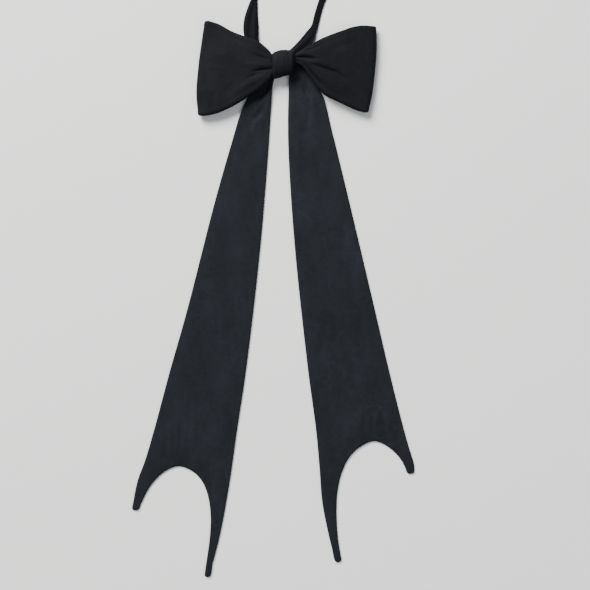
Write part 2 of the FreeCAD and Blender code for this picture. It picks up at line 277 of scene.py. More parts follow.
def cloth_material(name, colour, pattern=1.0, roughness=0.55):
    """Dark cloth with a fine twill weave, slubs, a soft sheen and a tone-on-tone woven pattern of swirls."""
    t = Tree(name)
    place = t.add("Attribute", attribute_name="cloth", attribute_type="GEOMETRY").outputs["Vector"]

    # Woven swirls: rings round scattered centres, broken up by a warp, with leaf-like blots between them.
    warp = t.add("TexNoise", {"Vector": place, "Scale": 70.0, "Detail": 2.0}).outputs["Color"]
    shift = t.add("VectorMath", {0: warp, 1: (0.5, 0.5, 0.5)}, operation="SUBTRACT").outputs[0]
    shift = t.add("VectorMath", {0: shift, "Scale": 0.018}, operation="SCALE").outputs[0]
    warped = t.add("VectorMath", {0: place, 1: shift}, operation="ADD").outputs[0]
    cell = t.add(
        "TexVoronoi", {"Vector": warped, "Scale": 62.0, "Smoothness": 0.8}, feature="SMOOTH_F1"
    ).outputs["Distance"]
    rings = t.math("SINE", t.math("MULTIPLY", cell, 17.0))
    blot = t.add("TexNoise", {"Vector": warped, "Scale": 230.0, "Detail": 3.0}).outputs["Fac"]
    swirl = t.ramp(t.math("ADD", t.math("MULTIPLY", rings, 0.3), blot), 0.35, 0.8)
    patch = t.add("TexNoise", {"Vector": place, "Scale": 16.0, "Detail": 1.0}).outputs["Fac"]
    figure = t.math("MULTIPLY", swirl, t.ramp(patch, 0.3, 0.7))
    figure = t.math("MULTIPLY", figure, pattern)

    # Weave: diagonal twill lines crossed by threads, all under a millimetre, and slubs along the threads.
    twill = t.add(
        "TexWave", {"Vector": place, "Scale": 520.0, "Distortion": 1.2, "Detail": 1.0, "Detail Scale": 3.0},
        bands_direction="DIAGONAL",
    ).outputs["Fac"]
    threads = t.add(
        "TexWave", {"Vector": place, "Scale": 700.0, "Distortion": 0.6}, bands_direction="X"
    ).outputs["Fac"]
    stretched = t.add("Mapping", {"Vector": place, "Scale": (900.0, 110.0, 110.0)}).outputs[0]
    slubs = t.add("TexNoise", {"Vector": stretched, "Scale": 1.0, "Detail": 3.0}).outputs["Fac"]
    fine = t.math("ADD", t.math("MULTIPLY", twill, 0.5), t.math("MULTIPLY", threads, 0.3))
    weave = t.math("ADD", fine, t.math("MULTIPLY", slubs, 0.6))
    crush = t.add(
        "TexNoise", {"Vector": place, "Scale": 260.0, "Detail": 4.0, "Roughness": 0.6}
    ).outputs["Fac"]

    # Colour: near black, lighter on the woven figure and unevenly faded along the cloth.
    drawn = t.add("Mapping", {"Vector": place, "Scale": (58.0, 20.0, 20.0)}).outputs[0]
    fade = t.add("TexNoise", {"Vector": drawn, "Scale": 1.0, "Detail": 5.0, "Roughness": 0.6}).outputs["Fac"]
    dark = tuple(0.8 * c for c in colour) + (1,)
    light = tuple(1.35 * c for c in colour) + (1,)
    amount = t.math("MULTIPLY", t.math("ADD", t.ramp(fade, 0.25, 0.75), t.math("MULTIPLY", figure, 0.5)), 0.6)
    amount = t.math("ADD", amount, t.math("MULTIPLY", t.math("SUBTRACT", crush, 0.5), 0.9))
    tone = t.add("Mix", {0: amount}, data_type="RGBA", clamp_factor=True)
    tone.inputs[6].default_value = dark
    tone.inputs[7].default_value = light
    t.links.new(tone.outputs[2], t.shader.inputs["Base Color"])

    rough = t.math("SUBTRACT", t.math("ADD", roughness + 0.06, t.math("MULTIPLY", crush, 0.12)),
                   t.math("MULTIPLY", figure, 0.08))
    t.links.new(rough, t.shader.inputs["Roughness"])
    t.shader.inputs["Specular IOR Level"].default_value = 0.05
    t.shader.inputs["Sheen Weight"].default_value = 0.02
    t.shader.inputs["Sheen Roughness"].default_value = 0.45
    t.shader.inputs["Sheen Tint"].default_value = (0.78, 0.84, 1.0, 1)

    height = t.math("ADD", t.math("MULTIPLY", weave, 0.00007), t.math("MULTIPLY", figure, 0.00006))
    height = t.math("ADD", height, t.math("MULTIPLY", crush, 0.0002))
    bump = t.add("Bump", {"Height": height, "Strength": 0.8, "Distance": 1.0})
    t.links.new(bump.outputs[0], t.shader.inputs["Normal"])
    return t.material


def felt_material(name, colour):
    """The stiff layer between the plies: pressed grey felt."""
    t = Tree(name)
    place = t.add("Attribute", attribute_name="cloth", attribute_type="GEOMETRY").outputs["Vector"]
    fibres = t.add(
        "TexNoise", {"Vector": place, "Scale": 900.0, "Detail": 5.0, "Roughness": 0.7}
    ).outputs["Fac"]
    tone = t.add("Mix", {0: t.ramp(fibres, 0.35, 0.65)}, data_type="RGBA")
    tone.inputs[6].default_value = tuple(0.7 * c for c in colour) + (1,)
    tone.inputs[7].default_value = tuple(1.4 * c for c in colour) + (1,)
    t.links.new(tone.outputs[2], t.shader.inputs["Base Color"])
    t.shader.inputs["Roughness"].default_value = 0.95
    bump = t.add("Bump", {"Height": t.math("MULTIPLY", fibres, 0.0002), "Strength": 0.6, "Distance": 1.0})
    t.links.new(bump.outputs[0], t.shader.inputs["Normal"])
    return t.material


# ---------------------------------------------------------------- band


def band_path(route, height):
    """The band's smooth centreline through its route, as points read from a NURBS spline."""
    curve = bpy.data.curves.new("band_route", "CURVE")
    curve.dimensions = "3D"
    spline = curve.splines.new("NURBS")
    spline.points.add(len(route) - 1)
    for point, (x, y) in zip(spline.points, route):
        point.co = (x * MM, y * MM, height * MM, 1)
    spline.order_u = 3
    spline.use_endpoint_u = True
    spline.resolution_u = 16
    obj = bpy.data.objects.new("band_route", curve)
    bpy.context.scene.collection.objects.link(obj)
    bpy.context.view_layer.update()
    graph = bpy.context.evaluated_depsgraph_get()
    line = bpy.data.meshes.new_from_object(obj.evaluated_get(graph))
    path = np.array([v.co for v in line.vertices]) / MM
    bpy.data.meshes.remove(line)
    bpy.data.objects.remove(obj)
    bpy.data.curves.remove(curve)
    return path


def respaced(path, step):
    """The same line with its points an even step apart."""
    along = np.concatenate([[0], np.cumsum(np.linalg.norm(np.diff(path, axis=0), axis=1))])
    marks = np.linspace(0, along[-1], int(round(along[-1] / step)) + 1)
    return np.stack([np.interp(marks, along, path[:, k]) for k in range(path.shape[1])], axis=1), marks


def flat_tube(path, marks, width_at, seed=3.0, pleats=None):
    """A turned tube of cloth pressed flat along a path: its rings of points and their place in the cloth."""
    around = np.linspace(0, 2 * math.pi, 29)[:-1]
    tangent = np.gradient(path, axis=0)
    tangent[:, 2] = 0
    tangent /= np.linalg.norm(tangent, axis=1)[:, None]
    side = np.stack([-tangent[:, 1], tangent[:, 0], np.zeros(len(path))], axis=1)
    up = np.array([0, 0, 1.0])
    rings, cloth = [], []
    for p, s, mark in zip(path, side, marks):
        calm = float(smooth(0, 8, mark) * smooth(0, 8, marks[-1] - mark))
        tilt = calm * 0.05 * noise.noise(Vector((mark / 24.0, seed, 0)))
        breathe = 1 + calm * 0.05 * noise.noise(Vector((mark / 13.0, seed, 7)))
        w, h = width_at(mark) / 2 * breathe, PRESSED_THICKNESS / 2
        across = np.sign(np.cos(around)) * np.abs(np.cos(around)) ** 0.75
        over = np.sign(np.sin(around)) * np.abs(np.sin(around)) ** 0.8
        pinch = 1 - 0.18 * bell(across, 0.25)
        # A seam runs just inside one edge, and small puckers cross it.
        seam = -0.16 * bell(across - 0.72, 0.09) * (over > 0)
        uneven = 3 * noise.noise(Vector((mark / 5.0, seed, 1)))
        pucker = 0.09 * calm * np.sin(mark * 1.9 + uneven) * bell(across - 0.72, 0.2)
        height = h * over * pinch + seam + pucker * (over > 0)
        if pleats is not None:
            height = height + pleats(mark, across) * over
        sideways, upwards = w * across * math.cos(tilt), height + w * across * math.sin(tilt)
        rings.append(p + np.outer(sideways, s) + np.outer(upwards, up))
        round_it = around / (2 * math.pi) * 2 * (w * 2)
        cloth.append(np.stack([np.full(len(around), mark), round_it, 0 * around], axis=1))
    rings = np.array(rings)
    rings[:, :, 2] = np.maximum(rings[:, :, 2], LOWEST)
    return rings, np.array(cloth)


def tube_object(name, rings, cloth, material):
    """A closed piece from rings of points, with a rounded-in cap at each end."""
    rows, count = rings.shape[:2]
    verts = list(rings.reshape(-1, 3))
    places = list(cloth.reshape(-1, 3))
    faces = []
    for i in range(rows - 1):
        for k in range(count):
            n = (k + 1) % count
            faces.append((i * count + k, (i + 1) * count + k, (i + 1) * count + n, i * count + n))
    for row, flip in ((0, False), (rows - 1, True)):
        verts.append(rings[row].mean(axis=0))
        places.append(cloth[row].mean(axis=0))
        for k in range(count):
            face = (len(verts) - 1, row * count + k, row * count + (k + 1) % count)
            faces.append(face[::-1] if flip else face)
    tube = new_object(name, verts, faces, places, material)
    for face in tube.data.polygons[-2 * count:]:
        face.use_smooth = False
    return tube


def make_band(material):
    """The free band from one taper round to the other."""
    path, marks = respaced(band_path(BAND_ROUTE, BAND_THICKNESS / 2), 1.2)
    rings, cloth = flat_tube(path, marks, lambda m: BAND_WIDTH)
    band = tube_object("band", rings, cloth, material)
    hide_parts("neck_band")
    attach(band, "knot")


# ---------------------------------------------------------------- tapers between the knot and the band

TAPERS = {
    "left": {
        "path": [(-1, 7, 3.4), (-9, 7.2, 3.4), (-18, 8.6, 3.2), (-25.6, 14.2, 2.9), (-29.6, 24, 2.5),
                 (-30.6, 34, 1.6), (-30.2, 44, 1.1), (-28.8, 53, 1.0), (-27.9, 58, 1.0)],
        "widths": [(0, 6), (12, 6), (22, 7.4), (34, 11.2), (42, 13.2), (50, 13.6), (56.5, 12.8), (61, 11),
                   (65.5, 9.2), (70, 7.4), (73.5, 6), (90, 6)],
    },
    "right": {
        "path": [(1, 7, 3.2), (5, 9, 3.5), (10.5, 12.8, 3.9), (16, 18, 3.8), (20.4, 23.6, 3.0),
                 (23.8, 29.4, 2.0), (26.2, 34, 1.3), (27.6, 38.2, 1.0)],
        "widths": [(0, 8), (8, 9.6), (16, 10.6), (24, 10.6), (31, 9.4), (36, 7.2), (40.5, 6), (60, 6)],
    },
}


def make_taper(side, material):
    """The sash narrowing from the knot to the band, folded lengthways where it is wide."""
    shape = TAPERS[side]
    path, marks = respaced(curve_through(shape["path"], 1.0), 1.0)
    along, widths = np.array(shape["widths"], float).T
    if side == "right":  # this one is made from the band to the knot, as the band runs
        path, along, widths = path[::-1], marks[-1] - along[::-1], widths[::-1]

    def width_at(mark):
        return np.interp(mark, along, widths)

    def pleats(mark, across):
        amount = 0.55 * smooth(6.5, 11, width_at(mark))
        return amount * np.sin(across * 5.2 + 0.7 + mark / 14.0)

    rings, cloth = flat_tube(path, marks, width_at, seed=5.0, pleats=pleats)
    piece = tube_object(f"{side}_taper", rings, cloth, material)
    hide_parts(f"{side}_band_taper")
    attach(piece, "knot")


# ---------------------------------------------------------------- tails

# Each edge of a tail from the knot down to its point, and the arch between the points, outer point first.
# Creases and dents are soft folds: a path, a width and a height. Dents are pressed in last, beside the knot.
TAILS = {
    "left": {
        "sign": -1,
        "outer": [(-5.5, 0.5), (-10, 1), (-16.5, -3), (-29, -21), (-38.9, -40), (-48.6, -71),
                  (-63.9, -125), (-88.2, -220), (-103.5, -274), (-118, -328), (-126, -355), (-132.6, -373),
                  (-137.2, -395.4)],
        "outer_point": [(-137.4, -398.6), (-134.0, -399.6), (-131.4, -398.4)],
        "arch": [(-129.6, -394), (-123.4, -381.6), (-117.2, -373), (-107.5, -364.4), (-95.8, -360),
                 (-84, -364), (-74.9, -373), (-69.5, -386), (-66.9, -405), (-67.7, -424), (-71.0, -448),
                 (-72.0, -455)],
        "inner_point": [(-72.2, -458.6), (-69.4, -459.6), (-67.0, -458.4)],
        "inner": [(-65.2, -448), (-58.5, -422), (-49.6, -373), (-43.2, -328), (-35.1, -274), (-22.5, -166),
                  (-14.6, -71), (-12.6, -40), (-10.0, -13.5), (-7, -8), (-3, -4.5), (-3.2, -1.5)],
        "creases": [
            ([(-13, -10), (-17, -20), (-24, -36)], 2.0, -2.4),
            ([(-12, -14), (-14, -26), (-18, -44)], 2.2, 1.0),
            ([(-24, -40), (-28.5, -47), (-33, -60)], 2.4, -1.0),
            ([(-30, -30), (-24, -34), (-17, -42)], 3.0, 0.8),
            ([(-18, -20), (-19, -50), (-24, -92)], 5.0, 0.5),
            ([(-28, -48), (-36, -85), (-47, -140)], 7.0, -0.5),
            ([(-108, -322), (-110, -338), (-112, -354)], 2.8, 1.1),
            ([(-101.5, -314), (-103, -332), (-104, -352)], 2.6, 1.2),
            ([(-95, -310), (-96.5, -330), (-97.5, -351)], 2.6, 1.1),
            ([(-88, -316), (-90, -333), (-91.5, -351)], 2.8, 1.2),
            ([(-80, -312), (-83, -330), (-84, -350)], 3.4, 1.0),
        ],
        "dents": [
            ([(-13, -14), (-17.4, -24), (-23.5, -33)], 2.0, -1.9),
            ([(-19, -34), (-22, -42), (-28.3, -51)], 2.3, -1.4),
            ([(-27, -34), (-31, -44), (-37, -60)], 2.6, -0.7),
            ([(-15.5, -44), (-18, -56), (-21, -74)], 2.4, -0.6),
        ],
    },
    "right": {
        "sign": 1,
        "outer": [(5, 1.5), (11, 3.5), (18, 0), (27, -13), (35, -30), (42.2, -58), (58.5, -125),
                  (81, -220), (93.6, -274), (107.2, -328), (112.4, -346), (115.8, -357), (116.4, -362.6)],
        "outer_point": [(116.0, -365.6), (112.2, -366.8), (109.6, -365.6)],
        "arch": [(108.2, -361.6), (104.2, -354), (96.4, -345.4), (86.4, -339), (79, -337.6), (68, -342.4),
                 (58.2, -351.6), (51.0, -366), (47.2, -383), (46.3, -400), (47.6, -424), (49.9, -439)],
        "inner_point": [(50.6, -444.6), (47.4, -446.4), (45.0, -445.2)],
        "inner": [(42.4, -435), (38.8, -420), (33.4, -392), (31, -362), (27.9, -328), (20.7, -274), (9, -166),
                  (3.4, -85), (2.6, -50), (3.5, -14), (3.6, -7.5), (1.8, -4), (2.4, -1)],
        "creases": [
            ([(8, -4), (13, -12), (18, -20)], 1.6, -1.8),
            ([(17, -16), (21, -26), (24, -40)], 2.2, -1.6),
            ([(14, -4), (25, -18), (33, -44)], 3.4, 1.0),
            ([(7, -14), (9, -50), (14, -100)], 5.0, 0.6),
            ([(27, -52), (38, -90), (48, -140)], 7.0, -0.5),
            ([(70, -302), (67.5, -318), (66, -334)], 3.6, 1.4),
            ([(83, -306), (81.5, -318), (80.5, -331)], 3.2, 1.5),
            ([(91, -310), (92, -322), (91, -334)], 2.8, 0.9),
            ([(59, -312), (57.5, -328), (56, -344)], 3.0, 0.9),
        ],
        "dents": [
            ([(9.5, -6), (11, -10), (13.5, -16)], 1.6, -1.4),
            ([(16.5, -15), (18, -21), (19.8, -29)], 1.9, -1.5),
            ([(18.5, -38), (20.7, -47), (22, -56)], 2.4, -0.9),
            ([(28, -30), (31, -44), (35, -62)], 2.6, -0.6),
        ],
    },
}
RINGS = (0.12, 0.4, 0.85, 1.5, 2.6, 3.9, 5.2, 6.6)  # rows of points inside a tail's outline
LATTICE = 2.5  # between the points in the middle of a tail
GATHERED_FROM_Y = -80.0  # nearer the knot the points are half as far apart


def tail_outline(tail):
    """The closed outline, clockwise or not, and which of its points are on the arch."""
    outer, arch, inner = tail["outer"], tail["arch"], tail["inner"]
    parts = [
        curve_through(outer, 2.0),
        curve_through([outer[-1], *tail["outer_point"], arch[0]], 0.7),
        curve_through(arch, 1.5),
        curve_through([arch[-1], *tail["inner_point"], inner[0]], 0.7),
        curve_through(inner, 2.0),
        curve_through([inner[-1], outer[0]], 1.5),
    ]
    outline = np.concatenate([p[:-1] for p in parts])
    on_arch = np.concatenate([np.full(len(p) - 1, k == 2) for k, p in enumerate(parts)])
    return outline, on_arch


def to_outline(points, outline):
    """Each point's distance to the outline and how far round the outline its nearest point is."""
    start, leg = outline, np.roll(outline, -1, axis=0) - outline
    lengths = np.linalg.norm(leg, axis=1)
    before = np.concatenate([[0], np.cumsum(lengths)[:-1]])
    distance, along = np.empty(len(points)), np.empty(len(points))
    for chunk in range(0, len(points), 1500):
        p = points[chunk:chunk + 1500, None, :]
        t = np.clip(((p - start) * leg).sum(2) / lengths**2, 0, 1)
        away = np.linalg.norm(p - start - t[..., None] * leg, axis=2)
        k = away.argmin(axis=1)
        row = np.arange(len(k))
        distance[chunk:chunk + 1500] = away[row, k]
        along[chunk:chunk + 1500] = before[k] + t[row, k] * lengths[k]
    return distance, along


def inside(points, outline):
    """Which points are inside the outline."""
    a, b = outline, np.roll(outline, -1, axis=0)
    x, y = points[:, 0:1], points[:, 1:2]
    crosses = (a[:, 1] > y) != (b[:, 1] > y)
    with np.errstate(divide="ignore", invalid="ignore"):
        at = a[:, 0] + (y - a[:, 1]) * (b[:, 0] - a[:, 0]) / (b[:, 1] - a[:, 1])
    return (crosses & (x < at)).sum(1) % 2 == 1


def triangulated(outline):
    """Even triangles inside an outline, with rows of points that follow it near the edge."""
    following = np.roll(outline, -1, axis=0)
    area = 0.5 * np.sum(outline[:, 0] * following[:, 1] - following[:, 0] * outline[:, 1])
    along = following - np.roll(outline, 1, axis=0)
    inward = np.stack([-along[:, 1], along[:, 0]], axis=1) * math.copysign(1, area)
    inward /= np.linalg.norm(inward, axis=1)[:, None]
    points = [outline]
    for row, depth in enumerate(RINGS):
        keep_every = 1 if depth < 3 else 2
        ring = (outline + inward * depth)[row % 2::keep_every]
        distance, _ = to_outline(ring, outline)
        points.append(ring[(distance > 0.96 * depth) & inside(ring, outline)])
    low, high = outline.min(axis=0), outline.max(axis=0)
    lattice = []
    fine = LATTICE / 2
    for bottom, top, step in ((low[1], GATHERED_FROM_Y, LATTICE), (GATHERED_FROM_Y + fine, high[1], fine)):
        for row, y in enumerate(np.arange(bottom, top, step * math.sqrt(0.75))):
            xs = np.arange(low[0] + (row % 2) * step / 2, high[0], step)
            lattice.append(np.stack([xs, np.full(len(xs), y)], axis=1))
    lattice = np.concatenate(lattice)
    lattice = lattice[inside(lattice, outline)]
    distance, _ = to_outline(lattice, outline)
    points.append(lattice[distance > RINGS[-1] + 0.7 * LATTICE])
    points = np.concatenate(points)
    count = len(outline)
    verts, _, faces, *_ = geometry.delaunay_2d_cdt(
        [Vector(p) for p in points], [], [list(range(count))], 1, 1e-6
    )
    return np.array([tuple(v) for v in verts]), [tuple(f) for f in faces]


def tail_height(tail, points, distance, along, arch_span):
    """The middle of the sash above the surface: gathered at the knot, then lying in soft waves."""
    sign = tail["sign"]
    climb = np.clip((points[:, 1] + 60) / 50, 0, 1) ** 1.6
    waves = 0.55 * (noise_at(points, 46.0, sign) + 0.6) + 0.3 * (noise_at(points, 19.0, 4 + sign) + 0.6)
    height = 0.96 + 3.0 * climb + np.maximum(waves, 0) * smooth(0, 9, distance) + 0.2 * np.maximum(waves, 0)
    # Folds fan out from where the knot holds the cloth.
    away = points - np.array([sign * 4.0, 2.0])
    radius = np.linalg.norm(away, axis=1)
    angle = np.arctan2(away[:, 0] * sign, -away[:, 1])
    fan = np.sin(angle * 19.0 + 1.6 * noise_at(points, 30.0, 9 + sign))
    height += 0.8 * fan * np.exp(-np.maximum(radius - 12, 0) / 30) * smooth(3, 9, radius)
    for path, width, depth in tail["creases"]:
        height += crease(points, path, width, depth)
    # Seams pucker the cloth beside them, most where they follow the arch.
    first, last = arch_span
    on_arch = smooth(first - 6, first + 10, along) * (1 - smooth(last - 40, last - 10, along))
    ripple = np.array([noise.noise(Vector((s / 4.4, 11.0 + sign, 0))) for s in along])
    height += 0.16 * ripple * np.exp(-distance / 5.0) * smooth(0, 1.5, distance)
    ripple = np.array([noise.noise(Vector((s / 6.5, 17.0 + sign, 0))) for s in along])
    height += 0.7 * on_arch * ripple * np.exp(-distance / 12.0) * smooth(0, 5, distance)
    upright = noise_at(points * np.array([1.0, 0.12]), 4.6, 31 + sign)
    height += 1.35 * on_arch * upright * np.exp(-distance / 16.0) * smooth(0, 4, distance)
    # It stays low enough to pass under the loops when it swings out.
    ceiling = 2.5 + 1.0 * smooth(-24, -6, points[:, 1])
    over = np.maximum(height - ceiling + 0.5, 0)
    height -= np.where(over > 0, over - 0.5 * np.tanh(over), 0) * smooth(-75, -50, points[:, 1])
    for path, width, depth in tail["dents"]:
        height += crease(points, path, width, depth) * smooth(0.5, 4, distance)
    return height


def sash_half(distance):
    """Half the sash's thickness that far in from its edge: rounded, with the turned seam a little proud."""
    rounded = SASH / 2 * np.sqrt(1 - (1 - np.clip(distance / 0.85, 0.0004, 1)) ** 2)
    proud = 0.17 * smooth(0.5, 1.3, distance) * (1 - smooth(SEAM_WIDTH - 1.2, SEAM_WIDTH + 0.6, distance))
    groove = -0.1 * bell(distance - SEAM_WIDTH - 0.7, 0.7)
    return rounded + proud + groove


def sheet_shell(name, points, faces, upper, lower, material):
    """A closed shell between two heights over the same triangles."""
    count = len(points)
    verts = np.concatenate([np.column_stack([points, upper]), np.column_stack([points, lower])])
    made = [tuple(f) for f in faces] + [tuple(count + k for k in reversed(f)) for f in faces]
    directed = {(f[i], f[(i + 1) % 3]) for f in faces for i in range(3)}
    for a, b in sorted(directed):
        if (b, a) not in directed:
            made.append((b, a, count + a, count + b))
    cloth = np.column_stack([np.concatenate([points, points]), np.zeros(2 * count)])
    return new_object(name, verts, made, cloth, material)


def make_tail(side, materials):
    """A tail: front cloth, back cloth and the stiff layer between them."""
    tail = TAILS[side]
    outline, arch_points = tail_outline(tail)
    lengths = np.linalg.norm(np.roll(outline, -1, axis=0) - outline, axis=1)
    round_it = np.concatenate([[0], np.cumsum(lengths)[:-1]])
    arch_span = (round_it[arch_points].min(), round_it[arch_points].max())
    points, faces = triangulated(outline)
    distance, along = to_outline(points, outline)
    middle = tail_height(tail, points, distance, along, arch_span)
    half = sash_half(distance)
    middle = np.maximum(middle, half + 0.03)
    core = CORE_HALF * smooth(SEAM_WIDTH - 1.5, SEAM_WIDTH, distance)
    front = sheet_shell(
        f"{side}_tail_front", points, faces, middle + half, middle + core + PLY_GAP, materials["front"]
    )
    back = sheet_shell(
        f"{side}_tail_back", points, faces, middle - core - PLY_GAP, middle - half, materials["back"]
    )
    within = (distance > SEAM_WIDTH + 0.1) & (points[:, 1] < FOLD_Y - 3)
    kept = [f for f in faces if all(within[k] for k in f)]
    used = sorted({k for f in kept for k in f})
    new_index = {k: i for i, k in enumerate(used)}
    kept = [tuple(new_index[k] for k in f) for f in kept]
    thick = STIFFENER_SHARE["tail"] * CORE_HALF
    stiffener = sheet_shell(
        f"{side}_tail_stiffener", points[used], kept, middle[used] + thick, middle[used] - thick,
        materials["felt"],
    )
    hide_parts(f"{side}_tail_front_panel", f"{side}_tail_neck")
    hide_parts(f"{side}_tail_back_panel")
    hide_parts(f"{side}_tail_interlining")
    for piece, slot in ((front, "sash_front"), (back, "sash_back"), (stiffener, "interlining")):
        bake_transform(piece)


# ---------------------------------------------------------------- loops

# Each loop seen from the front: its top and bottom edges from the knot outwards, and its outer fold, from the
# bottom up.
LOOPS = {
    "left": {
        "sign": -1,
        "throat_x": -11,
        "bottom": [(-8.5, -8.2), (-11.2, -10.2), (-13.6, -13.3), (-21.2, -20.0), (-31, -27), (-41, -33.6),
                   (-51.3, -39), (-60, -42.6), (-69, -44.8), (-77.4, -45.2)],
        "top": [(-8.5, 6.4), (-11.3, 7.2), (-13.3, 11.0), (-23.4, 19.8), (-36, 24.8), (-47.7, 29.6),
                (-59.4, 36.2), (-71.6, 39.2)],
        "fold": [(-77.4, -45.2), (-79.1, -26), (-77.2, 0), (-74.2, 22), (-71.6, 39.2)],
        "creases": [
            ([(-10, -4.6), (-20, -5.0), (-31, -7.5)], 1.3, -2.3),
            ([(-16, -7), (-26, -9.5), (-37, -15)], 1.6, -0.9),
            ([(-12, 3), (-20, 5.5), (-31, 9.5)], 1.3, -1.1),
            ([(-11, 6.5), (-18, 10), (-27, 15)], 1.2, -0.6),
            ([(-10, -1), (-24, -1), (-42, 0)], 3.4, 0.7),
            ([(-11, -9), (-26, -15), (-48, -25)], 3.6, 0.7),
            ([(-32, -14), (-50, -24), (-68, -31)], 6.0, -0.4),
            ([(-36, 12), (-54, 19), (-69, 24)], 6.0, -0.4),
        ],
    },
    "right": {
        "sign": 1,
        "throat_x": 8,
        "bottom": [(5, -0.5), (10, 0.6), (15, -1.5), (21, -8.8), (28, -18.6), (35.1, -26.4), (45, -31.6),
                   (54.9, -36.2), (64.8, -40.4), (74.3, -42.2)],
        "top": [(5, 8), (10, 9.6), (17.8, 14.2), (24.8, 18.2), (31.5, 22.2), (42.3, 26.9), (52.2, 30.5),
                (60, 33.3), (70, 34.9), (81.4, 34.4)],
        "fold": [(74.3, -42.2), (77.4, -29), (79.8, -12), (81.9, 14), (81.4, 34.4)],
        "creases": [
            ([(8, 6), (19, 6.0), (31, 4)], 1.5, -2.7),
            ([(21, 1), (34, -3.5), (46, -7.5), (58, -17)], 1.9, -2.1),
            ([(36, 11), (50, 16), (66, 22)], 3.4, -0.6),
            ([(13.5, 2.5), (20.5, -4.5), (29, -14), (39, -23)], 1.2, -1.4),
            ([(15, 5), (23, -2.5), (31.5, -12), (42, -21)], 1.5, 1.0),
            ([(9, 9.5), (18, 11.5), (30, 15)], 1.5, -0.8),
            ([(14, 3.5), (26, 1.5), (40, -2)], 2.4, 0.9),
            ([(26, -8), (40, -14), (56, -24)], 5.0, 0.5),
        ],
    },
}
FOLD_RADIUS = 3.1  # at a loop's outer end
LOOP_REST = 1.9  # middle of a loop's back layer above the surface, at its outer end
GATHER_Z = 9.0  # middle of the gather in the knot
LOOP_WIDTH = 84.0  # the sash's width where it is folded
LAYER_LENGTH = 66.0  # of the flat cloth between the knot and the fold
STIFFENER_INSET = 0.13  # share of the sash's width without stiffener, at each edge
STIFFENER_FROM_ROW = 13  # it stops short of the gathers by so many rows of points


def coons(a, t, bottom, top, throat, fold):
    """Points of the patch between four edges, each a function of 0 to 1."""
    a, t = a[..., None], t[..., None]
    along = (1 - t) * bottom(a) + t * top(a)
    across = (1 - a) * throat(t) + a * fold(t)
    inner_corners = (1 - t) * bottom(0 * a) + t * top(0 * a)
    outer_corners = (1 - t) * bottom(0 * a + 1) + t * top(0 * a + 1)
    corners = (1 - a) * inner_corners + a * outer_corners
    return along + across - corners


def edge_function(points):
    """A smooth curve through points as a function from 0 to 1."""
    path, marks = respaced(curve_through(points, 0.5), 0.5)
    marks = marks / marks[-1]

    def at(share):
        share = np.clip(share[..., 0], 0, 1)
        return np.stack([np.interp(share, marks, path[:, k]) for k in range(2)], axis=-1)

    return at


def loop_plan(loop):
    """Where a loop layer's points are seen from the front: a from the knot out, t from the bottom up."""
    inset = np.array([loop["sign"] * FOLD_RADIUS, 0])
    fold = [tuple(np.array(p) - inset) for p in loop["fold"]]
    bottom, top = list(loop["bottom"]), list(loop["top"])
    bottom[-1], top[-1] = fold[0], fold[-1]
    edges = [edge_function(e) for e in (bottom, top, [bottom[0], top[0]], fold)]
    return lambda a, t: coons(a, t, edges[0], edges[1], edges[2], edges[3])


def spread_columns():
    """From 0 to 1 across the sash, close together near both edges."""
    near = [0, 0.0012, 0.004, 0.009, 0.016, 0.027, 0.04, 0.054, 0.07, 0.09]
    return np.array(near + list(np.linspace(0.11, 0.89, 53)) + [1 - k for k in reversed(near)])


def gathered(a, t):
    """1 out on the loop; by the knot it falls towards the cloth's two edges, which makes an oval bundle."""
    return 1 - np.exp(-((a / 0.07) ** 2)) * (1 - np.sqrt(1 - 0.9 * (2 * t - 1) ** 2))


